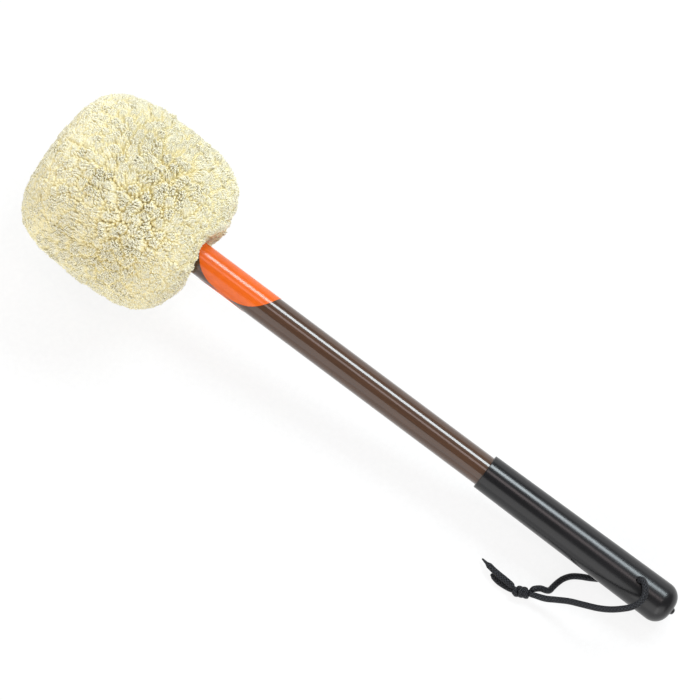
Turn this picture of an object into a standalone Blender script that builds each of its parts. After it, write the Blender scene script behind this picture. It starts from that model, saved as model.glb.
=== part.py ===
"""Gong mallet lying on a table: a fleece drum head on a lacquered dowel, a dip-moulded
vinyl grip, a round sticker wrapped on the shaft, and a knotted wrist cord through the grip.

Turned pieces are drawn along the shaft, from the front of the head (0) to the nib on the
grip's end, in the frame of one tilted empty. The cord is laid out on the table around a
second empty, which stands on the loop's swivel axis in the middle of its cross hole.
"""
import math
from bisect import bisect_left

import bmesh
import bpy
from mathutils import Matrix, Vector, noise
from mathutils.geometry import interpolate_bezier

GAP = 0.0003
RING_STEPS = 48
SMALL_STEPS = 24
COVER_STEPS = 72
CORD_SIDES = 12
THREAD_SIDES = 6
TABLE_SIZE = 0.08
ON_OUTLINE = 0.95
SHARP_ANGLE = math.radians(35)

# Fleece head: a drum with crowned ends, a superellipse turned about the shaft
HEAD_RADIUS = 0.0556
HEAD_LENGTH = 0.1123
HEAD_SQUARENESS = 3.3
FLEECE_SIDE_DEPTH = 0.0150
FLEECE_END_DEPTH = 0.0130
SEAM_ANGLE = math.radians(48)
NECK_RADIUS = 0.0105
REST_FLAT_DEPTH = 0.0005
PRESS_HEIGHT = 0.012

# The pile's swell: how far its tufts dip below the outline, and their size
TUFT_DIP = 0.0022
TUFT_SIZE = 0.0072
ROW_SPACING = 0.0042

# Padding and core inside the cover
FELT_DEPTH = 0.0062
CORE_EDGE_RADIUS = 0.0020
SHAFT_START = 0.0340
SCREW_RADIUS = 0.00225
SCREW_LENGTH = 0.0400
SCREW_HEAD_RADIUS = 0.0045
SCREW_HEAD_HEIGHT = 0.0028
SCREW_HEAD_EDGE = 0.0012
SCREW_HEAD_CROWN = 0.0003
WASHER_RADIUS = 0.0080
WASHER_THICKNESS = 0.0015
DRAWSTRING_RADIUS = 0.0008
DRAWSTRING_RING = 0.0140
DRAWSTRING_GROOVE = 0.0013

# Shaft: a 3/4 in dowel
SHAFT_RADIUS = 0.009525
SHAFT_END = 0.4500
SHAFT_CHAMFER = 0.0006

# Grip: a dip-moulded sleeve, wider towards its closed end
GRIP_START = 0.3172
GRIP_END = 0.4535
GRIP_START_RADIUS = 0.01115
GRIP_END_RADIUS = 0.01250
GRIP_CORNER_RADIUS = 0.0093
NIB_RADIUS = 0.0020
NIB_HEIGHT = 0.0027
NIB_TIP_RADIUS = 0.0014
NIB_EDGE = 0.0006

# Sticker: a round label wrapped on the shaft and tucked under the pile
STICKER_CENTRE = 0.1320
STICKER_RADIUS = 0.0297
STICKER_THICKNESS = 0.0002
STICKER_TURN = math.radians(98)
STICKER_RINGS = 8
STICKER_STEPS = 48

# Wrist cord
CORD_RADIUS = 0.0019
CORD_STEP = 2 * CORD_RADIUS
HOLE_STATION = 0.4272
HOLE_RADIUS = CORD_RADIUS + GAP
CORD_CLEARANCE = 0.0005
SEALED_TIP = 0.35
KNOT_CORE_RADIUS = 0.0020
KNOT_TURNS = 2
KNOT_NOSE = 0.0009

# The cord's route by hand, in millimetres: x and y from the hole's centre, height above the table
FRONT_LEG = [
    (1.3, 0.0, 29.8), (2.3, -0.5, 32.2), (5.2, -2.6, 33.8), (8.1, -6.9, 33.8),
    (8.6, -11.1, 33.2), (7.3, -15.0, 32.3), (1.4, -21.4, 29.6), (-6.9, -26.0, 26.2),
    (-16.4, -28.8, 20.8), (-26.4, -30.8, 14.4), (-33.4, -33.7, 10.0), (-39.7, -36.5, 7.1),
    (-46.2, -38.3, 5.9),
]
REAR_LEG = [
    (1.0, 0.2, 1.9), (-5.0, 0.2, 1.9), (-10.5, -0.9, 1.9), (-16.3, -4.4, 1.9),
    (-24.1, -9.5, 1.9), (-32.5, -13.9, 1.9), (-37.8, -18.5, 1.9), (-39.6, -24.4, 1.9),
    (-39.6, -29.4, 1.9), (-41.6, -33.0, 1.9), (-46.7, -35.7, 1.9),
]
UPPER_TAIL = [
    (-56.9, -41.2, 4.9), (-61.5, -40.6, 5.2), (-68.2, -40.6, 5.5), (-74.7, -39.3, 4.9),
    (-81.3, -36.9, 2.3),
]
LOWER_TAIL = [
    (-57.2, -44.1, 1.9), (-61.5, -44.9, 1.9), (-66.0, -44.3, 1.9), (-70.6, -42.6, 1.9),
    (-73.5, -41.6, 1.9),
]
KNOT_CENTRE = (-51.8, -40.4, 4.1)
KNOT_HEADING = math.radians(-156)

# Stations inside the head that follow from the sizes above
COVER_INNER_RADIUS = HEAD_RADIUS - FLEECE_SIDE_DEPTH
FELT_OUTER_RADIUS = COVER_INNER_RADIUS - GAP
CORE_RADIUS = FELT_OUTER_RADIUS - FELT_DEPTH - GAP
COVER_FRONT = FLEECE_END_DEPTH
COVER_REAR = HEAD_LENGTH - FLEECE_END_DEPTH
CORE_FRONT = COVER_FRONT + FELT_DEPTH + 2 * GAP
CORE_REAR = COVER_REAR - FELT_DEPTH - 2 * GAP
BORE_RADIUS = SHAFT_RADIUS + GAP
WASHER_FRONT = CORE_FRONT + SCREW_HEAD_HEIGHT + 2 * GAP
COUNTERBORE_FLOOR = WASHER_FRONT + WASHER_THICKNESS + GAP

FLEECE = ("cream_fleece", (0.86, 0.80, 0.62), 0.95, 0.0)
FELT = ("grey_felt", (0.45, 0.44, 0.42), 0.95, 0.0)
BARE_WOOD = ("bare_wood", (0.62, 0.45, 0.28), 0.60, 0.0)
LACQUERED_WOOD = ("brown_lacquer", (0.13, 0.075, 0.045), 0.18, 0.0)
VINYL = ("black_vinyl", (0.022, 0.023, 0.026), 0.30, 0.0)
STICKER_FILM = ("orange_film", (0.95, 0.20, 0.02), 0.25, 0.0)
CORD = ("black_braid", (0.020, 0.021, 0.025), 0.70, 0.0)
THREAD = ("waxed_thread", (0.70, 0.66, 0.55), 0.60, 0.0)
STEEL = ("zinc_steel", (0.66, 0.66, 0.68), 0.35, 1.0)


def head_point(angle):
    """A point (radius, station) on the head's outline: -90 degrees is the front pole, 90 the rear."""
    power = 2 / HEAD_SQUARENESS
    radius = HEAD_RADIUS * abs(math.cos(angle)) ** power
    along = abs(math.sin(angle)) ** power * math.copysign(1, angle)
    return radius, HEAD_LENGTH / 2 * (1 + along)


def head_arc(start, end, count):
    """Points on the head's outline from one angle to another."""
    return [head_point(start + (end - start) * i / (count - 1)) for i in range(count)]


def even_arc(start, end):
    """Points on the head's outline from one angle to another, in rows of about even spacing."""
    fine = head_arc(start, end, 721)
    walked = [0.0]
    for first, second in zip(fine, fine[1:]):
        walked.append(walked[-1] + math.dist(first, second))
    rows = round(walked[-1] / ROW_SPACING)
    points = [fine[bisect_left(walked, walked[-1] * i / rows)] for i in range(rows)]
    return points + [fine[-1]]


def outline_slope(radius, station):
    """The way out of the head at a point of its outline, as (radius, station), of length 1."""
    along = (station - HEAD_LENGTH / 2) / (HEAD_LENGTH / 2)
    across = radius / HEAD_RADIUS
    power = HEAD_SQUARENESS - 1
    return Vector((across ** power / HEAD_RADIUS,
                   math.copysign(abs(along) ** power, along) / (HEAD_LENGTH / 2))).normalized()


def grip_radius(station):
    """Outer radius of the grip, which widens evenly towards its closed end."""
    share = (station - GRIP_START) / (GRIP_END - GRIP_CORNER_RADIUS - GRIP_START)
    return GRIP_START_RADIUS + (GRIP_END_RADIUS - GRIP_START_RADIUS) * min(share, 1)


def head_drop(tilt):
    """How far the head reaches below the axis' height at station 0, at a tilt."""
    outline = head_arc(-math.pi / 2, math.pi / 2, 361)
    return max(station * math.sin(tilt) + radius * math.cos(tilt) for radius, station in outline)


def resting_tilt():
    """The shaft's slope when the head's side and the cord under the grip are on the table."""
    under_grip = 2 * CORD_RADIUS + CORD_CLEARANCE
    low, high = 0.0, math.radians(20)
    for _ in range(60):
        tilt = (low + high) / 2
        axis_height = head_drop(tilt) - REST_FLAT_DEPTH - HOLE_STATION * math.sin(tilt)
        clearance = axis_height - grip_radius(HOLE_STATION) / math.cos(tilt)
        if clearance > under_grip:
            low = tilt
        else:
            high = tilt
    return tilt


TILT = resting_tilt()
AXIS_HEIGHT = head_drop(TILT) - REST_FLAT_DEPTH


def box_middle():
    """Middle of the mallet's length on the table, from the front of the head to the nib."""
    front = min(station * math.cos(TILT) - radius * math.sin(TILT)
                for radius, station in head_arc(-math.pi / 2, math.pi / 2, 361))
    nib = (GRIP_END + NIB_HEIGHT) * math.cos(TILT) + NIB_TIP_RADIUS * math.sin(TILT)
    corner_station = GRIP_END - GRIP_CORNER_RADIUS
    corner_height = GRIP_END_RADIUS - GRIP_CORNER_RADIUS
    shoulder = (corner_station * math.cos(TILT) + corner_height * math.sin(TILT)
                + GRIP_CORNER_RADIUS)
    return (front + max(nib, shoulder)) / 2


def clear_scene():
    """Remove whatever the file holds."""
    for obj in list(bpy.data.objects):
        bpy.data.objects.remove(obj, do_unlink=True)


def new_collection(name):
    """A collection linked into the scene."""
    collection = bpy.data.collections.new(name)
    bpy.context.scene.collection.children.link(collection)
    return collection


clear_scene()
parts = new_collection("gong_mallet")
cutters = new_collection("cutters")


def make_material(name, colour, roughness, metallic):
    """A Principled material, shared by the pieces that have the same finish."""
    material = bpy.data.materials.get(name)
    if material is None:
        material = bpy.data.materials.new(name)
        material.use_nodes = True
        shader = material.node_tree.nodes["Principled BSDF"]
        shader.inputs["Base Color"].default_value = (*colour, 1)
        shader.inputs["Roughness"].default_value = roughness
        shader.inputs["Metallic"].default_value = metallic
        material.diffuse_color = (*colour, 1)
    return material


def make_empty(name):
    """A guide that other objects are parented to."""
    empty = bpy.data.objects.new(name, None)
    empty.empty_display_size = 0.03
    parts.objects.link(empty)
    return empty


# Z of this empty runs along the shaft towards the grip, and its X points down from the shaft
mallet_axis = make_empty("mallet_axis")
mallet_axis.location = (-box_middle(), 0, AXIS_HEIGHT)
mallet_axis.rotation_euler = (0, math.pi / 2 + TILT, 0)
mallet_frame = (Matrix.Translation(mallet_axis.location)
                @ Matrix.Rotation(math.pi / 2 + TILT, 4, "Y"))
hole_centre = mallet_frame @ Vector((0, 0, HOLE_STATION))
front_extreme = min((Vector((radius, 0, station)) for radius, station in
                     head_arc(-math.pi / 2, math.pi / 2, 361)),
                    key=lambda place: (mallet_frame @ place).x)

loop_swivel = make_empty("loop_swivel")
loop_swivel.location = hole_centre


def place(obj, parent, finish):
    """Put a piece in the part's collection, under its guide, with its material."""
    parts.objects.link(obj)
    obj.parent = parent
    obj.data.materials.append(make_material(*finish))
    return obj


def profile_mesh(name, points, closed):
    """A mesh of edges through (radius, station) points."""
    mesh = bpy.data.meshes.new(name)
    outline = bmesh.new()
    verts = [outline.verts.new((radius, 0, station)) for radius, station in points]
    for first, second in zip(verts, verts[1:]):
        outline.edges.new((first, second))
    if closed:
        outline.edges.new((verts[-1], verts[0]))
    outline.to_mesh(mesh)
    outline.free()
    return mesh


def turned(name, points, finish, closed=False, steps=RING_STEPS, parent=mallet_axis):
    """A piece turned about its Z. The points run down its outer side, and a closed
    outline makes a ring, while an open one starts and ends on the axis."""
    piece = bpy.data.objects.new(name, profile_mesh(name, points, closed))
    screw = piece.modifiers.new("turn", "SCREW")
    screw.axis = "Z"
    screw.steps = steps
    screw.render_steps = steps
    screw.use_merge_vertices = True
    screw.merge_threshold = 0.00001
    return place(piece, parent, finish)


def cut(piece, cutter):
    """Take a cutter's shape out of a piece."""
    boolean = piece.modifiers.new("cut_" + cutter.name, "BOOLEAN")
    boolean.operation = "DIFFERENCE"
    boolean.object = cutter


def added_primitive(name):
    """The primitive just added, named and taken out of its collection."""
    obj = bpy.context.object
    obj.name = name
    for collection in list(obj.users_collection):
        collection.objects.unlink(obj)
    return obj


def keep_as_cutter(name):
    """Move the primitive just added to the cutters."""
    obj = added_primitive(name)
    cutters.objects.link(obj)
    obj.hide_render = True
    obj.display_type = "WIRE"
    return obj


def tuft_dip(place):
    """How far the pile lies below the outline at a place in the mallet's frame. It is the same
    on the left and the right, and nothing where the table and the front extreme hold it."""
    wave = noise.noise(Vector((place.x, abs(place.y), place.z)) / TUFT_SIZE)
    height = (mallet_frame @ place).z
    pressed = min(max(height / PRESS_HEIGHT, 0), 1)
    from_front = min((place - front_extreme).length / PRESS_HEIGHT, 1)
    return TUFT_DIP * (0.5 + 0.5 * wave) * pressed * from_front


def raise_tufts(panel):
    """Give a cover panel's outer side the low swell of its pile, 10 mm or so from tuft to tuft."""
    bpy.context.view_layer.update()
    depsgraph = bpy.context.evaluated_depsgraph_get()
    mesh = bpy.data.meshes.new_from_object(panel.evaluated_get(depsgraph))
    panel.modifiers.clear()
    panel.data = mesh
    for vert in mesh.vertices:
        radius = math.hypot(vert.co.x, vert.co.y)
        along = abs(vert.co.z - HEAD_LENGTH / 2) / (HEAD_LENGTH / 2)
        if (radius / HEAD_RADIUS) ** HEAD_SQUARENESS + along ** HEAD_SQUARENESS > ON_OUTLINE:
            slope = outline_slope(radius, vert.co.z)
            turn = math.atan2(vert.co.y, vert.co.x)
            outward = Vector((slope.x * math.cos(turn), slope.x * math.sin(turn), slope.y))
            vert.co -= outward * tuft_dip(vert.co)
    return panel


def seam_offset():
    """The step from the band's seam face to the end panel's, square to the face."""
    outer = Vector(head_point(SEAM_ANGLE))
    inner = Vector((COVER_INNER_RADIUS, COVER_REAR))
    along = (outer - inner).normalized()
    return Vector((-along.y, along.x)) * GAP


def make_cover():
    """The sewn fleece cover: a side band and two end panels, the rear one with the neck hole."""
    step = seam_offset()
    panel_angle = SEAM_ANGLE + math.radians(3)
    band = even_arc(SEAM_ANGLE, -SEAM_ANGLE)
    band += [(COVER_INNER_RADIUS, COVER_FRONT), (COVER_INNER_RADIUS, COVER_REAR)]
    side = raise_tufts(turned("fleece_side_band", band, FLEECE, closed=True, steps=COVER_STEPS))
    table_x = mallet_axis.location.x + HEAD_LENGTH / 2
    bpy.ops.mesh.primitive_cube_add(size=TABLE_SIZE, location=(table_x, 0, -TABLE_SIZE / 2))
    cut(side, keep_as_cutter("table_top"))

    outer = Vector(head_point(SEAM_ANGLE)) + step
    inner = Vector((COVER_INNER_RADIUS, COVER_REAR)) + step
    front = [(0, COVER_FRONT), (inner.x, COVER_FRONT), (outer.x, HEAD_LENGTH - outer.y)]
    front += even_arc(-panel_angle, -math.pi / 2)
    raise_tufts(turned("fleece_front_disc", front, FLEECE, steps=COVER_STEPS))

    neck_angle = math.acos((NECK_RADIUS / HEAD_RADIUS) ** (HEAD_SQUARENESS / 2))
    rear = even_arc(neck_angle, panel_angle)
    groove_out = DRAWSTRING_RING + DRAWSTRING_GROOVE
    groove_in = DRAWSTRING_RING - DRAWSTRING_GROOVE
    groove_end = COVER_REAR + 2 * DRAWSTRING_GROOVE
    rear += [tuple(outer), (inner.x, COVER_REAR), (groove_out, COVER_REAR),
             (groove_out, groove_end), (groove_in, groove_end), (groove_in, COVER_REAR),
             (NECK_RADIUS, COVER_REAR)]
    raise_tufts(turned("fleece_rear_disc", rear, FLEECE, closed=True, steps=COVER_STEPS))

    bpy.ops.mesh.primitive_torus_add(major_radius=DRAWSTRING_RING, minor_radius=DRAWSTRING_RADIUS,
                                     major_segments=SMALL_STEPS, minor_segments=THREAD_SIDES)
    drawstring = added_primitive("neck_drawstring")
    drawstring.location = (0, 0, COVER_REAR + DRAWSTRING_GROOVE)
    place(drawstring, mallet_axis, THREAD)


def make_padding():
    """Felt round the core's side and on both its ends."""
    wrap = [(FELT_OUTER_RADIUS, CORE_REAR), (FELT_OUTER_RADIUS, CORE_FRONT),
            (CORE_RADIUS + GAP, CORE_FRONT), (CORE_RADIUS + GAP, CORE_REAR)]
    turned("felt_wrap", wrap, FELT, closed=True)
    front = [(0, CORE_FRONT - GAP), (FELT_OUTER_RADIUS, CORE_FRONT - GAP),
             (FELT_OUTER_RADIUS, COVER_FRONT + GAP), (0, COVER_FRONT + GAP)]
    turned("felt_front_disc", front, FELT)
    rear = [(FELT_OUTER_RADIUS, COVER_REAR - GAP), (FELT_OUTER_RADIUS, CORE_REAR + GAP),
            (BORE_RADIUS, CORE_REAR + GAP), (BORE_RADIUS, COVER_REAR - GAP)]
    turned("felt_rear_disc", rear, FELT, closed=True)


def make_core():
    """The turned core with its blind bore, and the screw and washer that hold it on the shaft."""
    edge = CORE_EDGE_RADIUS
    pocket = WASHER_RADIUS + 2 * GAP
    screw_hole = SCREW_RADIUS + GAP
    core = [(CORE_RADIUS - edge, CORE_REAR), (CORE_RADIUS, CORE_REAR - edge),
            (CORE_RADIUS, CORE_FRONT + edge), (CORE_RADIUS - edge, CORE_FRONT),
            (pocket, CORE_FRONT), (pocket, COUNTERBORE_FLOOR), (screw_hole, COUNTERBORE_FLOOR),
            (screw_hole, SHAFT_START - GAP), (BORE_RADIUS, SHAFT_START - GAP),
            (BORE_RADIUS, CORE_REAR)]
    turned("head_core", core, BARE_WOOD, closed=True)

    washer = [(WASHER_RADIUS, WASHER_FRONT + WASHER_THICKNESS), (WASHER_RADIUS, WASHER_FRONT),
              (screw_hole, WASHER_FRONT), (screw_hole, WASHER_FRONT + WASHER_THICKNESS)]
    turned("screw_washer", washer, STEEL, closed=True, steps=SMALL_STEPS)

    under_head = WASHER_FRONT - GAP
    tip = under_head + SCREW_LENGTH
    crown = under_head - SCREW_HEAD_HEIGHT
    screw = [(0, tip), (SCREW_RADIUS, tip - 3 * SCREW_RADIUS), (SCREW_RADIUS, under_head),
             (SCREW_HEAD_RADIUS, under_head), (SCREW_HEAD_RADIUS, under_head - SCREW_HEAD_EDGE),
             (0.7 * SCREW_HEAD_RADIUS, crown + SCREW_HEAD_CROWN), (0, crown)]
    turned("core_screw", screw, STEEL, steps=SMALL_STEPS)


def make_shaft():
    """The dowel, piloted for the core's screw. Its cross hole is cut with the grip's."""
    pilot = SCREW_RADIUS + GAP
    pilot_end = WASHER_FRONT + SCREW_LENGTH + GAP
    shaft = [(0, SHAFT_END), (SHAFT_RADIUS - SHAFT_CHAMFER, SHAFT_END),
             (SHAFT_RADIUS, SHAFT_END - SHAFT_CHAMFER), (SHAFT_RADIUS, SHAFT_START + SHAFT_CHAMFER),
             (SHAFT_RADIUS - SHAFT_CHAMFER, SHAFT_START), (pilot, SHAFT_START),
             (pilot, pilot_end), (0, pilot_end)]
    return turned("shaft", shaft, LACQUERED_WOOD)


def make_grip():
    """The dip-moulded sleeve: open square rim, slow taper, round closed end and moulding nib."""
    centre_radius = GRIP_END_RADIUS - GRIP_CORNER_RADIUS
    centre_station = GRIP_END - GRIP_CORNER_RADIUS
    nib_end = GRIP_END + NIB_HEIGHT
    grip = [(0, nib_end), (NIB_TIP_RADIUS, nib_end), (NIB_RADIUS, nib_end - NIB_EDGE),
            (NIB_RADIUS, GRIP_END)]
    corner_points = 9
    for i in range(corner_points):
        turn = math.pi / 2 * (1 - i / (corner_points - 1))
        grip.append((centre_radius + GRIP_CORNER_RADIUS * math.cos(turn),
                     centre_station + GRIP_CORNER_RADIUS * math.sin(turn)))
    grip += [(grip_radius(HOLE_STATION), HOLE_STATION), (GRIP_START_RADIUS, GRIP_START),
             (BORE_RADIUS, GRIP_START), (BORE_RADIUS, SHAFT_END + GAP), (0, SHAFT_END + GAP)]
    return turned("grip_sleeve", grip, VINYL)


def make_cross_hole(shaft, grip):
    """One hole through the sleeve and the dowel, with the cord's run inside it."""
    bpy.ops.mesh.primitive_cylinder_add(vertices=SMALL_STEPS, radius=HOLE_RADIUS,
                                        depth=4 * GRIP_END_RADIUS)
    drill = keep_as_cutter("cross_hole")
    drill.parent = mallet_axis
    drill.location = (0, 0, HOLE_STATION)
    drill.rotation_euler = (0, math.pi / 2, 0)
    cut(shaft, drill)
    cut(grip, drill)

    reach = grip_radius(HOLE_STATION)
    run = [(0, reach), (CORD_RADIUS, reach), (CORD_RADIUS, -reach), (0, -reach)]
    through = turned("cord_through_run", run, CORD, steps=CORD_SIDES)
    through.location = (0, 0, HOLE_STATION)
    through.rotation_euler = (0, math.pi / 2, 0)


def face_looks_in(face):
    """Whether a face of the rolled label points at the shaft's axis."""
    face.normal_update()
    centre = face.calc_center_median()
    return face.normal.x * centre.x + face.normal.y * centre.y < 0


def make_sticker():
    """A flat round label, rolled round the shaft: across it becomes an angle about the axis."""
    radius = SHAFT_RADIUS + 1.5 * GAP
    disc = bmesh.new()
    row = [disc.verts.new((STICKER_RADIUS * i / STICKER_RINGS, 0, 0))
           for i in range(STICKER_RINGS + 1)]
    edges = [disc.edges.new(pair) for pair in zip(row, row[1:])]
    bmesh.ops.spin(disc, geom=row + edges, cent=(0, 0, 0), axis=(0, 0, 1), angle=2 * math.pi,
                   steps=STICKER_STEPS, use_merge=True)
    bmesh.ops.remove_doubles(disc, verts=disc.verts, dist=0.00001)
    for vert in disc.verts:
        turn = vert.co.x / radius + STICKER_TURN
        vert.co = (-radius * math.cos(turn), radius * math.sin(turn), STICKER_CENTRE + vert.co.y)
    inward = [face for face in disc.faces if face_looks_in(face)]
    bmesh.ops.reverse_faces(disc, faces=inward)
    mesh = bpy.data.meshes.new("shaft_sticker")
    disc.to_mesh(mesh)
    disc.free()
    sticker = bpy.data.objects.new("shaft_sticker", mesh)
    wall = sticker.modifiers.new("film", "SOLIDIFY")
    wall.thickness = STICKER_THICKNESS
    wall.offset = 1
    return place(sticker, mallet_axis, STICKER_FILM)


def smooth_route(points, step):
    """Points about one step apart on a smooth curve through the route's own points."""
    ends = [2 * points[0] - points[1]] + points + [2 * points[-1] - points[-2]]
    fine = [points[0]]
    for before, start, end, after in zip(ends, ends[1:], ends[2:], ends[3:]):
        span = interpolate_bezier(start, start + (end - before) / 6,
                                  end - (after - start) / 6, end, 24)
        fine += span[1:]
    length = sum((b - a).length for a, b in zip(fine, fine[1:]))
    count = max(round(length / step), 3)
    route, walked, target = [fine[0]], 0.0, length / count
    for a, b in zip(fine, fine[1:]):
        walked += (b - a).length
        if walked >= target * len(route) and len(route) < count:
            route.append(b)
    return route + [fine[-1]], length


def laid_cord(name, route, sealed=False):
    """A stretch of cord on its route. A sealed one narrows to a melted tip."""
    drop = hole_centre.z
    points, length = smooth_route([Vector((x / 1000, y / 1000, height / 1000 - drop))
                                   for x, y, height in route], CORD_STEP)
    curve = bpy.data.curves.new(name, "CURVE")
    curve.dimensions = "3D"
    curve.bevel_depth = CORD_RADIUS
    curve.bevel_resolution = 2
    curve.use_fill_caps = True
    spline = curve.splines.new("POLY")
    spline.points.add(len(points) - 1)
    for i, (slot, point) in enumerate(zip(spline.points, points)):
        slot.co = (*point, 1)
        along = i / (len(points) - 1)
        slot.radius = 1 - (1 - SEALED_TIP) * max(2 * along - 1, 0) if sealed else 1
    cord = bpy.data.objects.new(name, curve)
    print(name, "length", round(1000 * length, 1), "mm, points", len(points))
    return place(cord, loop_swivel, CORD)


def make_knot():
    """The knot: the loop's two ends wrapped round themselves, side by side turns on a core."""
    crest = KNOT_CORE_RADIUS
    half = KNOT_TURNS * CORD_RADIUS
    arc_points = 7
    profile = [(0, half + KNOT_NOSE), (0.8 * crest, half + KNOT_NOSE), (crest, half + KNOT_NOSE / 2)]
    for turn in range(KNOT_TURNS):
        middle = half - CORD_RADIUS * (2 * turn + 1)
        for i in range(arc_points):
            lean = math.pi * (0.5 - (i + 0.5) / arc_points)
            profile.append((crest + CORD_RADIUS * math.cos(lean),
                            middle + CORD_RADIUS * math.sin(lean)))
    profile += [(crest, -half - KNOT_NOSE / 2), (0.8 * crest, -half - KNOT_NOSE),
                (0, -half - KNOT_NOSE)]
    knot = turned("cord_knot", profile, CORD, steps=SMALL_STEPS, parent=loop_swivel)
    x, y, height = KNOT_CENTRE
    knot.location = (x / 1000, y / 1000, height / 1000 - hole_centre.z)
    knot.rotation_euler = (0, math.pi / 2, KNOT_HEADING)


def shade_turned_pieces():
    """Keep each solid as a plain mesh, smooth but for its real edges."""
    bpy.context.view_layer.update()
    depsgraph = bpy.context.evaluated_depsgraph_get()
    finished = {}
    for piece in parts.objects:
        if piece.type == "MESH":
            finished[piece] = bpy.data.meshes.new_from_object(piece.evaluated_get(depsgraph))
    for piece, mesh in finished.items():
        piece.modifiers.clear()
        piece.data = mesh
        mesh.shade_smooth()
        mesh.set_sharp_from_angle(angle=SHARP_ANGLE)


make_core()
make_padding()
make_cover()
dowel = make_shaft()
sleeve = make_grip()
make_cross_hole(dowel, sleeve)
make_sticker()
laid_cord("cord_front_leg", FRONT_LEG)
laid_cord("cord_rear_leg", REAR_LEG)
make_knot()
laid_cord("cord_upper_tail", UPPER_TAIL, sealed=True)
laid_cord("cord_lower_tail", LOWER_TAIL, sealed=True)
shade_turned_pieces()
print("tilt", round(math.degrees(TILT), 3), "degrees, hole centre", tuple(hole_centre))
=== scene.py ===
"""Gong mallet: a fleece drum head on a lacquered dowel, with a moulded vinyl grip, a wrapped
sticker and a knotted wrist cord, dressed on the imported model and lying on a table."""
import math
from bisect import bisect_left

import bmesh
import bpy
from mathutils import Matrix, Vector, noise
from mathutils.geometry import interpolate_bezier


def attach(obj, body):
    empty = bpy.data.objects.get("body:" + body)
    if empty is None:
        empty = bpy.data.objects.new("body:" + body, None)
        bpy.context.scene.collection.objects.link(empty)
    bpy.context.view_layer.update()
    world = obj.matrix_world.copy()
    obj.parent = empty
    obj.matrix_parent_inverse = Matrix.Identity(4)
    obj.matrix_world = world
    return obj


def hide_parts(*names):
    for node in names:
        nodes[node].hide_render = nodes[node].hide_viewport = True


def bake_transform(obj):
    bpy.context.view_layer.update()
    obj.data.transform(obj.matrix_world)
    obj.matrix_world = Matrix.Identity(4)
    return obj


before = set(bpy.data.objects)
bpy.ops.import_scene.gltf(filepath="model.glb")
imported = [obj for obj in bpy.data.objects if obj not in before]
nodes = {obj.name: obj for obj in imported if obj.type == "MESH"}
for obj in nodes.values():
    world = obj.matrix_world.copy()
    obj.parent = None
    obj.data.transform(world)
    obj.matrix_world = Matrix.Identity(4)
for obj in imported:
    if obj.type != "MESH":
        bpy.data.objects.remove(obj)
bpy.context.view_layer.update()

# Shaft
# A straight 3/4 in hardwood dowel, stained brown under clear gloss lacquer. It runs from
# inside the head's core to the closed end of the grip, and it lies head up on the table.
TILT = math.radians(6.138)
HEAD_FRONT = Vector((-0.226091, 0.0, 0.062368))
TOWARDS_GRIP = Vector((math.cos(TILT), 0, -math.sin(TILT)))
SHAFT_TOP = Vector((math.sin(TILT), 0, math.cos(TILT)))
SHAFT_SIDE = Vector((0, 1, 0))
SHAFT_RADIUS = 0.009525
SHAFT_START, SHAFT_END = 0.0340, 0.4500
SHAFT_CHAMFER = 0.0006
SHAFT_RING_GAP = 0.03
ROUND_SIDES = 128
MERGE_DISTANCE = 0.000001


def beside_shaft(station, radius, turn):
    """A point at a station from the head's front, turned from the shaft's top towards +Y."""
    outward = SHAFT_TOP * math.cos(turn) + SHAFT_SIDE * math.sin(turn)
    return HEAD_FRONT + TOWARDS_GRIP * station + outward * radius


def in_scene(name, data):
    """An object in the scene, made from its data."""
    made = bpy.data.objects.new(name, data)
    bpy.context.scene.collection.objects.link(made)
    return made


def piece_of(work, name):
    """A piece at the origin from a bmesh whose points are already in place."""
    mesh = bpy.data.meshes.new(name)
    work.to_mesh(mesh)
    work.free()
    mesh.shade_smooth()
    return in_scene(name, mesh)


def turned(name, profile, sides=ROUND_SIDES):
    """A closed piece turned about the shaft, through (station, radius) points from pole to pole.
    Its UV map runs round it in turns and along it in metres."""
    work = bmesh.new()
    uv_map = work.loops.layers.uv.new("UVMap")
    rows, walked, last = [], 0.0, None
    for station, radius in profile:
        if last is not None:
            walked += math.dist((station, radius), last)
        last = (station, radius)
        count = 1 if radius == 0 else sides
        ring = [work.verts.new(beside_shaft(station, radius, 2 * math.pi * i / sides))
                for i in range(count)]
        rows.append((ring, walked))
    for (ring, along), (following, further) in zip(rows, rows[1:]):
        for i in range(sides):
            j = i + 1
            corners = [(ring[i % len(ring)], i / sides, along),
                       (ring[j % len(ring)], j / sides, along),
                       (following[j % len(following)], j / sides, further),
                       (following[i % len(following)], i / sides, further)]
            kept = []
            for corner in corners:
                if corner[0] not in [known[0] for known in kept]:
                    kept.append(corner)
            face = work.faces.new([corner[0] for corner in kept])
            for loop, corner in zip(face.loops, kept):
                loop[uv_map].uv = corner[1:]
    bmesh.ops.remove_doubles(work, verts=work.verts, dist=MERGE_DISTANCE)
    bmesh.ops.recalc_face_normals(work, faces=work.faces)
    return piece_of(work, name)


def wire(tree, kind, inputs=None, **settings):
    """Add a node. Its inputs take values or other nodes' outputs, by name or by number."""
    made = tree.nodes.new(kind)
    for setting, value in settings.items():
        setattr(made, setting, value)
    for socket, value in (inputs or {}).items():
        if isinstance(value, bpy.types.NodeSocket):
            tree.links.new(value, made.inputs[socket])
        else:
            made.inputs[socket].default_value = value
    return made


def sums(tree, operation, *values):
    """A Math node's result."""
    return wire(tree, "ShaderNodeMath", dict(enumerate(values)), operation=operation).outputs[0]


def shades(tree, fac, *stops):
    """A colour ramp through (place, colour) stops."""
    ramp = wire(tree, "ShaderNodeValToRGB", {"Fac": fac})
    for i, (place, colour) in enumerate(stops):
        stop = ramp.color_ramp.elements[i] if i < 2 else ramp.color_ramp.elements.new(place)
        stop.position = place
        stop.color = (*colour, 1)
    return ramp.outputs["Color"]


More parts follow.
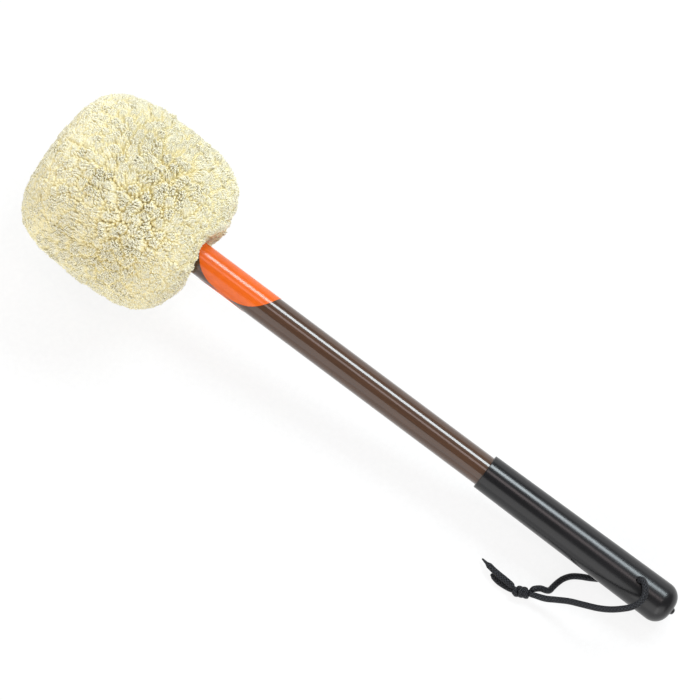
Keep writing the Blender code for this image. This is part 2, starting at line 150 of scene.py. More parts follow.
def paint(tree, shader, fac, *stops):
    """The shader's colour, from a ramp through (place, colour) stops."""
    tree.links.new(shades(tree, fac, *stops), shader.inputs["Base Color"])


def speckle(tree, place, scale, **more):
    """A noise pattern. Its scale is one number, or one for each way."""
    if isinstance(scale, tuple):
        place = wire(tree, "ShaderNodeMapping", {"Vector": place, "Scale": scale}).outputs["Vector"]
        scale = 1.0
    return wire(tree, "ShaderNodeTexNoise", {"Vector": place, "Scale": scale, **more}).outputs["Fac"]


def finish(name, **shine):
    """A material, its tree and its shader, with the shader's plain sockets set."""
    material = bpy.data.materials.new(name)
    material.use_nodes = True
    tree = material.node_tree
    shader = tree.nodes["Principled BSDF"]
    for socket, value in shine.items():
        shader.inputs[socket.replace("_", " ")].default_value = value
    return material, tree, shader


def raise_grain(tree, shader, height, depth):
    """Bump from a height between 0 and 1, depth metres deep."""
    bump = wire(tree, "ShaderNodeBump", {"Height": height, "Distance": depth, "Strength": 1.0})
    tree.links.new(bump.outputs["Normal"], shader.inputs["Normal"])


def lacquered_wood():
    """Brown stain over fine lengthwise grain and pores, under a clear gloss coat."""
    material, tree, shader = finish("brown_gloss_lacquer", Roughness=0.30, Coat_Weight=1.0,
                                    Coat_Roughness=0.05, Coat_IOR=1.5, Specular_IOR_Level=0.2)
    place = wire(tree, "ShaderNodeTexCoord").outputs["UV"]
    grain = speckle(tree, place, (38, 24, 1), Detail=6.0, Roughness=0.62, Distortion=0.4)
    pores = speckle(tree, place, (150, 190, 1), Detail=3.0)
    figure = sums(tree, "MULTIPLY_ADD", grain, 0.8, sums(tree, "MULTIPLY", pores, 0.2))
    paint(tree, shader, figure, (0.30, (0.045, 0.017, 0.0050)), (0.52, (0.063, 0.025, 0.0085)),
          (0.72, (0.080, 0.033, 0.0130)))
    return material


shaft_profile = [(SHAFT_START, 0), (SHAFT_START, SHAFT_RADIUS - SHAFT_CHAMFER),
                 (SHAFT_START + SHAFT_CHAMFER, SHAFT_RADIUS)]
shaft_profile += [(SHAFT_RING_GAP * i, SHAFT_RADIUS) for i in range(3, 15)]
shaft_profile += [(SHAFT_END - SHAFT_CHAMFER, SHAFT_RADIUS),
                  (SHAFT_END, SHAFT_RADIUS - SHAFT_CHAMFER), (SHAFT_END, 0)]
dowel = turned("lacquered_dowel", shaft_profile)
dowel.data.set_sharp_from_angle(angle=math.radians(35))
dowel.data.materials.append(lacquered_wood())
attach(dowel, "mallet")
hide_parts("shaft")

# Core, screw and felt
# Inside the head a turned beech core is pushed on the dowel and drawn down by a zinc-plated
# screw and washer. Grey pressed felt is wrapped round it and laid on both its ends.


def bare_wood():
    """Beech as it comes off the lathe, with flecks along the grain."""
    material, tree, shader = finish("turned_beech", Roughness=0.62)
    place = wire(tree, "ShaderNodeTexCoord").outputs["Object"]
    flecks = speckle(tree, place, (70, 900, 900), Detail=5.0)
    paint(tree, shader, flecks, (0.30, (0.46, 0.28, 0.14)), (0.50, (0.62, 0.43, 0.26)),
          (0.75, (0.70, 0.52, 0.34)))
    raise_grain(tree, shader, flecks, 0.0001)
    return material


def zinc():
    """Bright zinc plating, mottled by its passivation."""
    material, tree, shader = finish("zinc_plate", Metallic=1.0)
    place = wire(tree, "ShaderNodeTexCoord").outputs["Object"]
    mottle = speckle(tree, place, 900.0, Detail=3.0)
    paint(tree, shader, mottle, (0.35, (0.56, 0.57, 0.60)), (0.65, (0.72, 0.72, 0.72)))
    rough = wire(tree, "ShaderNodeMapRange", {"Value": mottle, "To Min": 0.25, "To Max": 0.45})
    tree.links.new(rough.outputs["Result"], shader.inputs["Roughness"])
    return material


def pressed_felt():
    """Grey wool felt: matted fibres in every direction."""
    material, tree, shader = finish("grey_wool_felt", Roughness=0.95, Sheen_Weight=0.4)
    place = wire(tree, "ShaderNodeTexCoord").outputs["Object"]
    fibres = speckle(tree, place, 1400.0, Detail=6.0, Roughness=0.7, Distortion=1.5)
    paint(tree, shader, fibres, (0.32, (0.27, 0.26, 0.25)), (0.68, (0.52, 0.51, 0.48)))
    raise_grain(tree, shader, fibres, 0.0004)
    return material


def waxed_thread():
    """Twisted thread, seen as slanting plies."""
    material, tree, shader = finish("waxed_thread", Roughness=0.5)
    place = wire(tree, "ShaderNodeTexCoord").outputs["Object"]
    plies = wire(tree, "ShaderNodeTexWave", {"Vector": place, "Scale": 700.0, "Distortion": 0.6},
                 bands_direction="DIAGONAL").outputs["Fac"]
    paint(tree, shader, plies, (0.2, (0.46, 0.42, 0.33)), (0.8, (0.72, 0.68, 0.56)))
    raise_grain(tree, shader, plies, 0.0002)
    return material


def dress(material, *names):
    """Give CAD nodes a finish."""
    for name in names:
        for slot in nodes[name].material_slots:
            slot.material = material


dress(bare_wood(), "head_core")
dress(zinc(), "core_screw", "screw_washer")
dress(pressed_felt(), "felt_wrap", "felt_front_disc", "felt_rear_disc")
dress(waxed_thread(), "neck_drawstring")

# Fleece cover
# Three panels of knitted backing are sewn into a drum over the felt: a band, a front disc and
# a rear disc gathered on the shaft. Cream pile stands on them in crimped, clumped tufts.
HEAD_RADIUS, HEAD_LENGTH, HEAD_SQUARENESS = 0.0556, 0.1123, 3.3
HEAD_SHIFT = 0.0026
NECK_END, NECK_SLOPE, NECK_ASIDE = 0.1056, 0.60, 0.75
BACKING_RADIUS, BACKING_HALF, BACKING_SQUARENESS = 0.0471, 0.0477, 6.2
BACKING_THICKNESS, AT_POLE = 0.0012, 0.001
NECK_RADIUS = 0.0112
SEAM_ANGLE = math.radians(48)
TUFT_DIP, TUFT_SIZE, PRESS_HEIGHT = 0.0022, 0.0072, 0.012
PARTING_STATION = 0.0690
PILE_SPREAD, PILE_LEAN = 0.85, 0.28
SHORTEST_PILE, LONGEST_PILE, HALVINGS = 0.0015, 0.030, 24
# Tufts stray from their lie by a slow drift and by each one's own wander
DRIFT_SCALE, TUFT_DRIFT, TUFT_WANDER = 52.0, 1.5, 0.20
# Strands start inside the backing, vary in length, draw together, wave, stray and taper
ROOT_DEPTH, LENGTH_SPREAD = 0.12, 0.045
GATHERING, LONE_LEAN = 0.60, 0.8
CRIMP_WAVE, STRAND_STRAY = 8.5, 0.00055
TAPER, TAPER_POWER = 0.68, 2.2


def backing_point(angle):
    """(station, radius) on the backing: -90 degrees is the front pole and 90 the rear one."""
    power = 2 / BACKING_SQUARENESS
    radius = BACKING_RADIUS * abs(math.cos(angle)) ** power
    reach = abs(math.sin(angle)) ** power * math.copysign(BACKING_HALF, angle)
    return HEAD_LENGTH / 2 + reach, radius


def backing_arc(start, end, count):
    """Evenly spaced points on the backing from one angle to another."""
    steps = 2000
    fine = [backing_point(start + (end - start) * i / steps) for i in range(steps + 1)]
    walked = [0.0]
    for first, second in zip(fine, fine[1:]):
        walked.append(walked[-1] + math.dist(first, second))
    goals = [walked[-1] * i / (count - 1) for i in range(count)]
    return [fine[min(bisect_left(walked, goal), steps)] for goal in goals]


def outline_excess(place):
    """Below 0 inside the pile's outline: a drum pushed a little to one side as the head lies,
    cut back to a funnel at the neck."""
    out = place - HEAD_FRONT - SHAFT_SIDE * HEAD_SHIFT
    station = out.dot(TOWARDS_GRIP)
    radius = (out - TOWARDS_GRIP * station).length
    along = abs(station / (HEAD_LENGTH / 2) - 1)
    drum = (radius / HEAD_RADIUS) ** HEAD_SQUARENESS + along ** HEAD_SQUARENESS - 1
    aside = NECK_ASIDE * abs(out.y) + (1 - NECK_ASIDE) * radius
    funnel = station - NECK_END - NECK_SLOPE * (aside - SHAFT_RADIUS)
    return max(drum, funnel / HEAD_LENGTH)


def tuft_dip(place):
    """How far the pile lies below its outline at a place, in the low swell of its tufts."""
    out = place - HEAD_FRONT
    local = Vector((-out.dot(SHAFT_TOP), abs(out.y), out.dot(TOWARDS_GRIP)))
    wave = noise.noise(local / TUFT_SIZE)
    return TUFT_DIP * (0.5 + 0.5 * wave) * min(max(place.z / PRESS_HEIGHT, 0), 1)


def pile_reach(root, normal):
    """The step from a root on the backing to its fibre's tip on the pile's outline."""
    spread = (root - HEAD_FRONT - TOWARDS_GRIP * PARTING_STATION) / HEAD_RADIUS
    way = (normal.lerp(spread, PILE_SPREAD) + SHAFT_SIDE * PILE_LEAN).normalized()
    low, high = 0.0, LONGEST_PILE
    for _ in range(HALVINGS):
        middle = (low + high) / 2
        if outline_excess(root + way * middle) < 0:
            low = middle
        else:
            high = middle
    return way * max(low - tuft_dip(root + way * low), SHORTEST_PILE)


def backing_panel(name, outer):
    """A panel of backing: its outer side, and its inner side a thickness below it."""
    inner = []
    for station, radius in reversed(outer):
        share = 1 - BACKING_THICKNESS / BACKING_RADIUS
        inner.append((HEAD_LENGTH / 2 + (station - HEAD_LENGTH / 2) * share, radius * share))
    if outer[0][1] > 0:
        inner.append(outer[0])
    return turned(name, outer + inner, sides=72)


def backing():
    """Knitted backing matted with the roots of the pile."""
    material, tree, shader = finish("fleece_backing", Roughness=0.95, Sheen_Weight=0.3)
    place = wire(tree, "ShaderNodeTexCoord").outputs["Object"]
    matting = speckle(tree, place, 520.0, Detail=6.0, Roughness=0.7)
    paint(tree, shader, matting, (0.30, (0.80, 0.64, 0.34)), (0.55, (0.88, 0.76, 0.46)),
          (0.75, (0.93, 0.86, 0.60)))
    raise_grain(tree, shader, matting, 0.0010)
    return material


def vectors(tree, operation, *values):
    """A Vector Math node's result: a number for a length or a product, otherwise a vector."""
    made = wire(tree, "ShaderNodeVectorMath", operation=operation)
    for i, value in enumerate(values):
        socket = made.inputs["Scale"] if operation == "SCALE" and i == 1 else made.inputs[i]
        if isinstance(value, bpy.types.NodeSocket):
            tree.links.new(value, socket)
        else:
            socket.default_value = value
    return made.outputs["Value" if operation in ("LENGTH", "DOT_PRODUCT") else "Vector"]


def cream_pile(name, bright):
    """Pile fibres: yellow at the root and cream at the tip, partly their own colour and partly
    painted shade of the creases deep in the pile, and finely streaked along their length.
    """
    material, tree, shader = finish(name, Roughness=0.9)
    along, around, tone = [wire(tree, "ShaderNodeAttribute", attribute_name=label).outputs["Fac"]
                           for label in ("along", "around", "tone")]
    across = sums(tree, "MULTIPLY_ADD", around, 22.0, sums(tree, "MULTIPLY", tone, 91.0))
    place = wire(tree, "ShaderNodeCombineXYZ", {"X": across, "Y": sums(tree, "MULTIPLY", along, 2.2),
                                                "Z": sums(tree, "MULTIPLY", tone, 37.0)})
    streaks = speckle(tree, place.outputs["Vector"], 1.0, Detail=2.0)
    # Painted shade: the darker, deeper yellow towards the roots darkens the creases between the
    # tufts, on top of the fibres' own root-to-tip colour.
    tone_and_painted_shade = sums(tree, "ADD", along, sums(tree, "MULTIPLY_ADD", streaks, 0.34, -0.17))
    paint(tree, shader, tone_and_painted_shade, (0.05, (0.90, 0.72, 0.32)), (0.70, (0.95, 0.86, 0.53)), (1.0, bright))
    raise_grain(tree, shader, streaks, 0.0003)
    return material


def chance(tree, low, high, seed, tuft=None):
    """A random vector between two corners, for each point or for each tuft."""
    made = wire(tree, "FunctionNodeRandomValue", {0: low, 1: high, "Seed": seed},
                data_type="FLOAT_VECTOR")
    if tuft is not None:
        tree.links.new(tuft, made.inputs["ID"])
    return made.outputs[0]


def pile_tree():
    """Strands rooted on a skin, gathered into leaning, crimped tufts, for one share of the drum."""
    tree = bpy.data.node_groups.new("pile_tufts", "GeometryNodeTree")
    wanted = {"Geometry": ["Skin"], "Material": ["Finish"],
              "Int": ["Shares", "Share", "Sides", "Segments", "Seed"],
              "Float": ["Tuft Spacing", "Strand Spacing", "Strand Thickness", "Reach", "Clumping",
                        "Comb", "Crimp"]}
    for kind, labels in wanted.items():
        for label in labels:
            tree.interface.new_socket(label, in_out="INPUT", socket_type="NodeSocket" + kind)
    tree.interface.new_socket("Pile", in_out="OUTPUT", socket_type="NodeSocketGeometry")
    given = tree.nodes.new("NodeGroupInput").outputs
    result = tree.nodes.new("NodeGroupOutput")

    def number(operation, *values):
        return sums(tree, operation, *values)

    def vector(operation, *values):
        return vectors(tree, operation, *values)

    guides = wire(tree, "GeometryNodeDistributePointsOnFaces", {
        "Mesh": given["Skin"], "Distance Min": given["Tuft Spacing"], "Density Max": 400000.0,
        "Seed": given["Seed"]}, distribute_method="POISSON")
    roots = wire(tree, "GeometryNodeDistributePointsOnFaces", {
        "Mesh": given["Skin"], "Distance Min": given["Strand Spacing"], "Density Max": 6000000.0,
        "Seed": number("ADD", given["Seed"], 1.0)}, distribute_method="POISSON")
    root = wire(tree, "GeometryNodeInputPosition").outputs[0]

    # Which share of the drum a root is in, by its turn about the shaft, kept just under a whole one
    out = vector("SUBTRACT", root, HEAD_FRONT)
    turn = number("ARCTAN2", vector("DOT_PRODUCT", out, SHAFT_SIDE),
                  vector("DOT_PRODUCT", out, SHAFT_TOP))
    turn = number("MULTIPLY_ADD", turn, 0.49999 / math.pi, 0.5)
    share = number("FLOOR", number("MULTIPLY", given["Shares"], turn))
    here = wire(tree, "FunctionNodeCompare", {0: share, 1: given["Share"]}, operation="EQUAL",
                data_type="FLOAT")
    kept = wire(tree, "GeometryNodeSeparateGeometry", {"Geometry": roots.outputs["Points"],
                                                       "Selection": here.outputs[0]})

    # What a root knows: its own lie and tuft, and its tuft's lean, sway and phase
    nearest = wire(tree, "GeometryNodeSampleNearest", {"Geometry": guides.outputs["Points"],
                                                       "Sample Position": root}).outputs[0]

    def of_tuft(value):
        return wire(tree, "GeometryNodeSampleIndex", {
            "Geometry": guides.outputs["Points"], "Value": value, "Index": nearest},
            data_type="FLOAT_VECTOR").outputs[0]

    lay = wire(tree, "GeometryNodeInputNamedAttribute", {"Name": "lay"},
               data_type="FLOAT_VECTOR").outputs[0]
    tuft = of_tuft(wire(tree, "GeometryNodeInputPosition").outputs[0])
    tuft_lay = of_tuft(lay)
    tuft_normal = vector("NORMALIZE", tuft_lay)
    drift = wire(tree, "ShaderNodeTexNoise", {"Vector": tuft, "Scale": DRIFT_SCALE, "Detail": 1.0})
    drift = vector("SUBTRACT", drift.outputs["Color"], (0.5, 0.5, 0.5))
    wander = chance(tree, (-1, -1, -1), (1, 1, 1), 5, nearest)
    lean = vector("ADD", vector("SCALE", drift, TUFT_DRIFT), vector("SCALE", wander, TUFT_WANDER))
    lean = vector("SCALE", lean, given["Comb"])
    upright = vector("DOT_PRODUCT", lean, tuft_normal)
    lean = vector("SUBTRACT", lean, vector("SCALE", tuft_normal, upright))
    sway = vector("CROSS_PRODUCT", chance(tree, (-1, -1, -1), (1, 1, 1), 8, nearest), tuft_normal)
    phase = chance(tree, (0, 0, 0), (6.3, 6.3, 6.3), 11, nearest)
    own = chance(tree, (-1, -1, -1), (1, 1, 1), 17)

    captured = wire(tree, "GeometryNodeCaptureAttribute", {"Geometry": kept.outputs["Selection"]})
    facts = {"root": root, "lay": lay, "tuft": tuft, "tuft_lay": tuft_lay, "lean": lean,
             "sway": sway, "phase": phase, "own": own}
    for label in facts:
        captured.capture_items.new("VECTOR", label)
    for label, value in facts.items():
        tree.links.new(value, captured.inputs[label])
    known = captured.outputs

    # A straight strand on every root, bent afterwards by its share of the way up, t
    line = wire(tree, "GeometryNodeCurvePrimitiveLine", {"Start": (0, 0, 0), "End": (0, 0, 0.001)})
    stem = wire(tree, "GeometryNodeResampleCurve", {"Curve": line.outputs["Curve"],
                                                    "Count": given["Segments"]})
    strands = wire(tree, "GeometryNodeInstanceOnPoints", {"Points": known["Geometry"],
                                                          "Instance": stem.outputs["Curve"]})
    strands = wire(tree, "GeometryNodeRealizeInstances", {"Geometry": strands.outputs["Instances"]})
    t = wire(tree, "GeometryNodeSplineParameter").outputs["Factor"]
    t_squared = number("MULTIPLY", t, t)
    axes = wire(tree, "ShaderNodeSeparateXYZ", {"Vector": known["own"]}).outputs
    length = number("MULTIPLY", given["Reach"], number("MULTIPLY_ADD", axes[0], LENGTH_SPREAD, 1.0))
    rise = number("MULTIPLY", length, number("MULTIPLY_ADD", t, 1 + ROOT_DEPTH, -ROOT_DEPTH))
    bow = number("MULTIPLY", t_squared, vector("LENGTH", known["tuft_lay"]))
    straight = vector("ADD", known["root"], vector("SCALE", known["lay"], rise))
    leaning = vector("SCALE", known["lean"], bow)
    straight = vector("ADD", straight, vector("SCALE", leaning, LONE_LEAN))
    apart = vector("SUBTRACT", known["root"], known["tuft"])
    apart = vector("SCALE", apart, number("MULTIPLY_ADD", t, -GATHERING, 1.0))
    gathered = vector("ADD", known["tuft"], vector("SCALE", known["tuft_lay"], rise))
    gathered = vector("ADD", vector("ADD", gathered, leaning), apart)
    place = wire(tree, "ShaderNodeMix", {"Factor": number("MULTIPLY", given["Clumping"], t),
                                         4: straight, 5: gathered}, data_type="VECTOR").outputs[1]
    start = wire(tree, "ShaderNodeSeparateXYZ", {"Vector": known["phase"]}).outputs[0]
    wave = number("SINE", number("MULTIPLY_ADD", t, CRIMP_WAVE, start))
    crimp = number("MULTIPLY", number("MULTIPLY", given["Crimp"], t), wave)
    place = vector("ADD", place, vector("SCALE", known["sway"], crimp))
    stray = vector("SCALE", known["own"], number("MULTIPLY", t_squared, STRAND_STRAY))
    place = vector("ADD", place, stray)

    # The pile lies on the shaft where it meets it, and is pressed flat on the table
    out = vector("SUBTRACT", place, HEAD_FRONT)
    station = vector("DOT_PRODUCT", out, TOWARDS_GRIP)
    off_axis = vector("SUBTRACT", out, vector("SCALE", tuple(TOWARDS_GRIP), station))
    lacquer_gap = 0.0006
    short = number("SUBTRACT", SHAFT_RADIUS + lacquer_gap, vector("LENGTH", off_axis))
    push = number("MAXIMUM", short, 0.0)
    behind = number("GREATER_THAN", station, HEAD_LENGTH / 2)
    push = number("MULTIPLY", push, behind)
    place = vector("ADD", place, vector("SCALE", vector("NORMALIZE", off_axis), push))
    xyz = wire(tree, "ShaderNodeSeparateXYZ", {"Vector": place}).outputs
    floor = number("MULTIPLY", given["Strand Thickness"], 0.6)
    place = wire(tree, "ShaderNodeCombineXYZ", {"X": xyz[0], "Y": xyz[1],
                                                "Z": number("MAXIMUM", xyz[2], floor)})
    bent = wire(tree, "GeometryNodeSetPosition", {"Geometry": strands.outputs["Geometry"],
                                                  "Position": place.outputs["Vector"]})
    taper = number("MULTIPLY_ADD", number("POWER", t, TAPER_POWER), -TAPER, 1.0)
    thickness = number("MULTIPLY", number("MULTIPLY", given["Strand Thickness"], 0.5), taper)
    marked = bent.outputs["Geometry"]
    for label, value in (("along", t), ("tone", number("MULTIPLY_ADD", axes[1], 0.5, 0.5))):
        marked = wire(tree, "GeometryNodeStoreNamedAttribute", {"Geometry": marked, "Name": label,
                                                                "Value": value}).outputs["Geometry"]
    ring = wire(tree, "GeometryNodeCurvePrimitiveCircle", {"Resolution": given["Sides"],
                                                           "Radius": 1.0})
    round_share = wire(tree, "GeometryNodeSplineParameter").outputs["Factor"]
    ring = wire(tree, "GeometryNodeStoreNamedAttribute", {
        "Geometry": ring.outputs["Curve"], "Name": "around", "Value": round_share})
    solid = wire(tree, "GeometryNodeCurveToMesh", {"Curve": marked, "Fill Caps": True,
                                                   "Profile Curve": ring.outputs["Geometry"],
                                                   "Scale": thickness})
    solid = wire(tree, "GeometryNodeSetShadeSmooth", {"Geometry": solid.outputs["Mesh"]})
    plain = wire(tree, "GeometryNodeRealizeInstances", {"Geometry": solid.outputs["Geometry"]})
    coated = wire(tree, "GeometryNodeSetMaterial", {"Geometry": plain.outputs["Geometry"],
                                                    "Material": given["Finish"]})
    tree.links.new(coated.outputs["Geometry"], result.inputs["Pile"])
    return tree


def grow(name, skin, tree, **settings):
    """Run a tree on a skin and keep the result as a plain mesh."""
    grower = skin.modifiers.new("grow", "NODES")
    grower.node_group = tree
    for item in tree.interface.items_tree:
        label = item.name.replace(" ", "_")
        if item.in_out == "INPUT" and label in settings:
            grower[item.identifier] = settings[label]
    grown = skin.evaluated_get(bpy.context.evaluated_depsgraph_get())
    mesh = bpy.data.meshes.new_from_object(grown)
    mesh.name = name
    skin.modifiers.remove(grower)
    return in_scene(name, mesh)


neck_angle = math.acos((NECK_RADIUS / BACKING_RADIUS) ** (BACKING_SQUARENESS / 2))
panels = {
    "fleece_side_backing": ("fleece_side_band", backing_arc(-SEAM_ANGLE, SEAM_ANGLE, 32)),
    "fleece_front_backing": ("fleece_front_disc", backing_arc(-math.pi / 2, -SEAM_ANGLE, 16)),
    "fleece_rear_backing": ("fleece_rear_disc", backing_arc(SEAM_ANGLE, neck_angle, 14)),
}
backing_finish = backing()
for name, (node, outline) in panels.items():
    if outline[0][1] < AT_POLE:
        outline[0] = (outline[0][0], 0)
    panel = backing_panel(name, outline)
    panel.data.materials.append(backing_finish)
    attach(panel, "mallet")
    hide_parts(node)

skin_outline = backing_arc(-math.pi / 2, neck_angle, 64)
skin_outline[0] = (skin_outline[0][0], 0)
skin = turned("pile_skin", skin_outline, sides=120)
lay = skin.data.attributes.new("lay", "FLOAT_VECTOR", "POINT")
for vert in skin.data.vertices:
    lay.data[vert.index].vector = pile_reach(vert.co, vert.normal)
tufts = pile_tree()
# Three coats, each in a few pieces round the drum: locks, the dense coat under them, stray hairs
coats = {
    "fleece_pile": (6, dict(
        Tuft_Spacing=0.0046, Strand_Spacing=0.00084, Reach=1.0, Strand_Thickness=0.0026,
        Clumping=0.50, Comb=1.00, Crimp=0.0012, Sides=4, Segments=5, Seed=4,
        Finish=cream_pile("cream_pile", (0.965, 0.925, 0.735)))),
    # The undercoat's deeper yellow, seen in the creases under the locks, is partly painted shade.
    "fleece_undercoat": (3, dict(
        Tuft_Spacing=0.0060, Strand_Spacing=0.0017, Reach=0.92, Strand_Thickness=0.0042,
        Clumping=0.0, Comb=0.3, Crimp=0.0, Sides=4, Segments=4, Seed=33,
        Finish=cream_pile("cream_undercoat", (0.95, 0.86, 0.54)))),
    "fleece_fuzz": (1, dict(
        Tuft_Spacing=0.0030, Strand_Spacing=0.0017, Reach=1.06, Strand_Thickness=0.00016,
        Clumping=0.3, Comb=0.7, Crimp=0.0006, Sides=3, Segments=4, Seed=21,
        Finish=cream_pile("cream_fuzz", (0.96, 0.93, 0.74)))),
}
for coat, (shares, look) in coats.items():
    for share in range(shares):
        grown = grow(f"{coat}_{share + 1}", skin, tufts, Shares=shares, Share=share, **look)
        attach(grown, "mallet")
bpy.data.objects.remove(skin)

# Sticker
# A plain round label of glossy orange film, 59 mm across, rolled once round the dowel below
# the head, so that its two sides all but meet. Its head end is tucked under the pile.
STICKER_CENTRE = 0.1320
STICKER_RADIUS = 0.0297
STICKER_TURN = math.radians(98)
FILM_THICKNESS = 0.00012
FILM_LIFT = 0.00003


def orange_film():
    """Orange print under gloss film, with a faint mottle and the film's small ripples."""
    material, tree, shader = finish("orange_gloss_film", Roughness=0.22)
    place = wire(tree, "ShaderNodeTexCoord").outputs["UV"]
    mottle = speckle(tree, place, 190.0, Detail=5.0)
    paint(tree, shader, mottle, (0.35, (0.72, 0.108, 0.0004)), (0.65, (0.77, 0.124, 0.0010)))
    raise_grain(tree, shader, speckle(tree, place, 60.0, Detail=2.0), 0.00002)
    return material


def rolled_label(name):
    """A disc whose breadth runs round the dowel and whose length runs along it, with a wall."""
    work = bmesh.new()
    uv_map = work.loops.layers.uv.new("UVMap")
    rings, sides = 36, 144
    inner_radius = SHAFT_RADIUS + FILM_LIFT
    flat = {}

    def layer(radius):
        rows = []
        for ring in range(rings + 1):
            share = STICKER_RADIUS * math.sin(math.pi / 2 * ring / rings)
            row = []
            for i in range(1 if ring == 0 else sides):
                turn = 2 * math.pi * i / sides
                across, along = share * math.cos(turn), share * math.sin(turn)
                vert = work.verts.new(beside_shaft(STICKER_CENTRE + along, radius,
                                                   STICKER_TURN + across / SHAFT_RADIUS))
                flat[vert] = (across, along)
                row.append(vert)
            rows.append(row)
        return rows

    outer, inner = layer(inner_radius + FILM_THICKNESS), layer(inner_radius)
    for rows in (outer, inner):
        for row, following in zip(rows, rows[1:]):
            for i in range(sides):
                j = (i + 1) % sides
                corners = [row[i % len(row)], following[i], following[j], row[j % len(row)]]
                work.faces.new(list(dict.fromkeys(corners)))
    for i in range(sides):
        j = (i + 1) % sides
        work.faces.new([outer[-1][i], outer[-1][j], inner[-1][j], inner[-1][i]])
    bmesh.ops.recalc_face_normals(work, faces=work.faces)
    for face in work.faces:
        for loop in face.loops:
            loop[uv_map].uv = flat[loop.vert]
    return piece_of(work, name)


label = rolled_label("orange_label")
label.data.set_sharp_from_angle(angle=math.radians(40))
label.data.materials.append(orange_film())
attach(label, "mallet")
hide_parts("shaft_sticker")

# Grip
# A black sleeve dip-moulded in soft vinyl and pushed over the dowel: a rounded open rim, a
# slow taper out to the closed end, a small moulding nib, and a punched hole for the cord.
GRIP_START, GRIP_END = 0.3172, 0.4535
GRIP_START_RADIUS, GRIP_END_RADIUS = 0.01115, 0.01250
GRIP_CORNER_RADIUS = 0.0093
GRIP_RIM_RADIUS = 0.0005
BORE_RADIUS, BORE_END = 0.009825, SHAFT_END + 0.0003
NIB_RADIUS, NIB_HEIGHT = 0.0022, 0.0018
HOLE_STATION = 0.4272
HOLE_RADIUS = 0.0022
HOLE_FLARE = 0.0007
HOLE_SIDES, HOLE_MARGIN = 40, 0.008
GRIP_RING_START, GRIP_RING_GAP = GRIP_START + 0.003, 0.0082


def grip_radius(station):
    """Outer radius of the sleeve at a station."""
    share = (station - GRIP_START) / (GRIP_END - GRIP_CORNER_RADIUS - GRIP_START)
    return GRIP_START_RADIUS + (GRIP_END_RADIUS - GRIP_START_RADIUS) * min(share, 1)


def black_vinyl():
    """Dipped vinyl: black, with the soft orange-peel of the dip and a worn, duller closed end."""
    material, tree, shader = finish("black_dipped_vinyl", Specular_IOR_Level=0.5)
    place = wire(tree, "ShaderNodeTexCoord").outputs["Object"]
    bloom = speckle(tree, place, 55.0, Detail=4.0)
    paint(tree, shader, bloom, (0.35, (0.0012, 0.0011, 0.0018)), (0.70, (0.0026, 0.0024, 0.0036)))
    along = wire(tree, "ShaderNodeSeparateXYZ", {"Vector": place}).outputs["X"]
    worn = wire(tree, "ShaderNodeMapRange", {"Value": along, "From Min": 0.10, "From Max": 0.23,
                                             "To Min": 0.19, "To Max": 0.26})
    rough = sums(tree, "MULTIPLY_ADD", bloom, 0.06, worn.outputs["Result"])
    tree.links.new(rough, shader.inputs["Roughness"])
    raise_grain(tree, shader, speckle(tree, place, 420.0, Detail=2.0), 0.000003)
    return material


def arc(centre, radius, start, end, count):
    """(station, radius) points on a quarter turn or so, by degrees from the grip's direction."""
    turns = [math.radians(start + (end - start) * i / (count - 1)) for i in range(count)]
    return [(centre[0] + radius * math.cos(turn), centre[1] + radius * math.sin(turn))
            for turn in turns]


sleeve_profile = [(BORE_END, 0), (BORE_END, BORE_RADIUS), (GRIP_START, BORE_RADIUS)]
sleeve_profile += arc((GRIP_START + GRIP_RIM_RADIUS, GRIP_START_RADIUS - GRIP_RIM_RADIUS),
                      GRIP_RIM_RADIUS, 180, 90, 7)
sleeve_profile += [(station, grip_radius(station)) for station in
                   [GRIP_RING_START + GRIP_RING_GAP * i for i in range(15)]]
corner = (GRIP_END - GRIP_CORNER_RADIUS, GRIP_END_RADIUS - GRIP_CORNER_RADIUS)
sleeve_profile += [(HOLE_STATION + HOLE_MARGIN, grip_radius(HOLE_STATION + HOLE_MARGIN))]
sleeve_profile += arc(corner, GRIP_CORNER_RADIUS, 90, 4, 26)
sleeve_profile += [(GRIP_END, NIB_RADIUS + 0.0009), (GRIP_END + 0.00015, NIB_RADIUS + 0.0004),
                   (GRIP_END + 0.0005, NIB_RADIUS),
                   (GRIP_END + NIB_HEIGHT * 0.62, NIB_RADIUS * 0.84),
                   (GRIP_END + NIB_HEIGHT * 0.9, NIB_RADIUS * 0.62),
                   (GRIP_END + NIB_HEIGHT, NIB_RADIUS * 0.34), (GRIP_END + NIB_HEIGHT, 0)]
sleeve = turned("vinyl_sleeve", sleeve_profile)


